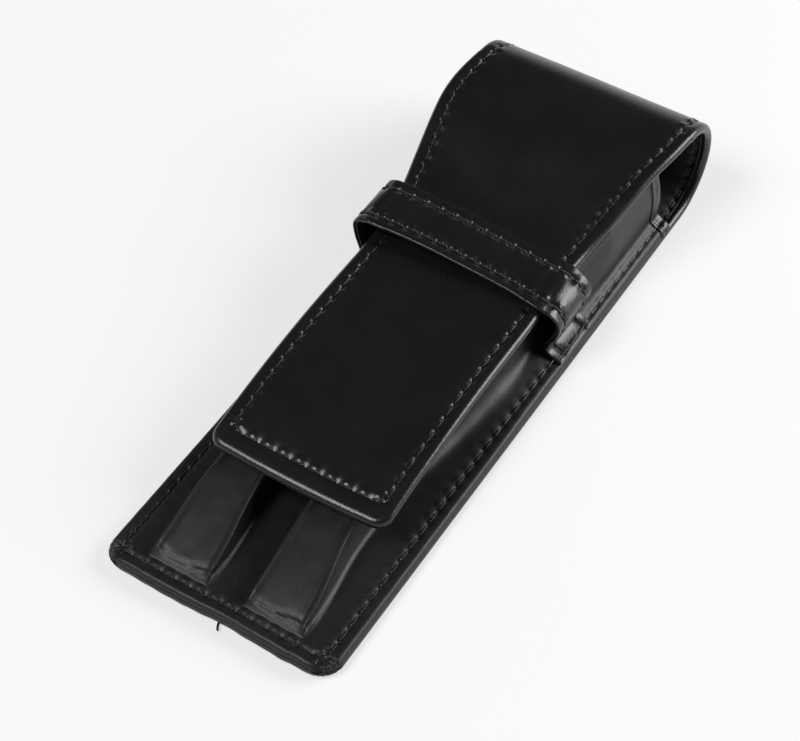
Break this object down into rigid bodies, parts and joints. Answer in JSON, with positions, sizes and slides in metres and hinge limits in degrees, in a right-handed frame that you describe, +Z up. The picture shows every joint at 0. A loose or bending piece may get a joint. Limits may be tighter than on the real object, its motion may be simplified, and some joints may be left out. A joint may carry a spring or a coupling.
{
  "type": "fountain pen case",
  "caption": "Flat leather case with two pleated pen sleeves, closed by a tongue flap that folds over the mouths and tucks under a strap.",
  "frame": {"origin": "centre of the face that lies on the desk, under the middle of the closed case", "axes": "+X across both pens, +Y along the pens towards the bend of the flap, +Z up from the desk through the closed flap"},
  "size_m": [0.058, 0.17, 0.028],
  "materials": {
    "outer_leather": "smooth satin black",
    "sleeve_leather": "smooth satin black, polished on the flat tops",
    "lining_leather": "matt black",
    "board": "matt fibre stiffener"
  },
  "bodies": {
    "case": {"back_outer": "outer_leather", "back_board": "board", "back_lining": "lining_leather", "sleeve_left": "sleeve_leather", "sleeve_right": "sleeve_leather", "mouth_binding_left": "outer_leather", "mouth_binding_right": "outer_leather", "strap_outer": "outer_leather", "strap_lining": "lining_leather"},
    "bend_1": {"bend_outer_1": "outer_leather", "bend_lining_1": "lining_leather"},
    "bend_2": {"bend_outer_2": "outer_leather", "bend_lining_2": "lining_leather"},
    "bend_3": {"bend_outer_3": "outer_leather", "bend_lining_3": "lining_leather"},
    "bend_4": {"bend_outer_4": "outer_leather", "bend_lining_4": "lining_leather"},
    "bend_5": {"bend_outer_5": "outer_leather", "bend_lining_5": "lining_leather"},
    "flap": {"flap_outer": "outer_leather", "flap_board": "board", "flap_lining": "lining_leather"}
  },
  "joints": [
    {"name": "bend_hinge_1", "type": "hinge", "parent": "case", "child": "bend_1", "pos_m": [0, 0.071, 0], "axis": [-1, 0, 0], "range_deg": [0, 18]},
    {"name": "bend_hinge_2", "type": "hinge", "parent": "bend_1", "child": "bend_2", "pos_m": [0, 0.07923, 0.00267], "axis": [-1, 0, 0], "range_deg": [0, 36]},
    {"name": "bend_hinge_3", "type": "hinge", "parent": "bend_2", "child": "bend_3", "pos_m": [0, 0.08432, 0.00967], "axis": [-1, 0, 0], "range_deg": [0, 36]},
    {"name": "bend_hinge_4", "type": "hinge", "parent": "bend_3", "child": "bend_4", "pos_m": [0, 0.08432, 0.01833], "axis": [-1, 0, 0], "range_deg": [0, 36]},
    {"name": "bend_hinge_5", "type": "hinge", "parent": "bend_4", "child": "bend_5", "pos_m": [0, 0.07923, 0.02533], "axis": [-1, 0, 0], "range_deg": [0, 36]},
    {"name": "flap_opening", "type": "hinge", "parent": "bend_5", "child": "flap", "pos_m": [0, 0.071, 0.028], "axis": [-1, 0, 0], "range_deg": [0, 18], "deforming": ["strap_outer", "strap_lining"]}
  ],
  "couplings": [
    {"joint": "bend_hinge_1", "follows": "flap_opening", "ratio": 1},
    {"joint": "bend_hinge_2", "follows": "flap_opening", "ratio": 2},
    {"joint": "bend_hinge_3", "follows": "flap_opening", "ratio": 2},
    {"joint": "bend_hinge_4", "follows": "flap_opening", "ratio": 2},
    {"joint": "bend_hinge_5", "follows": "flap_opening", "ratio": 2}
  ]
}
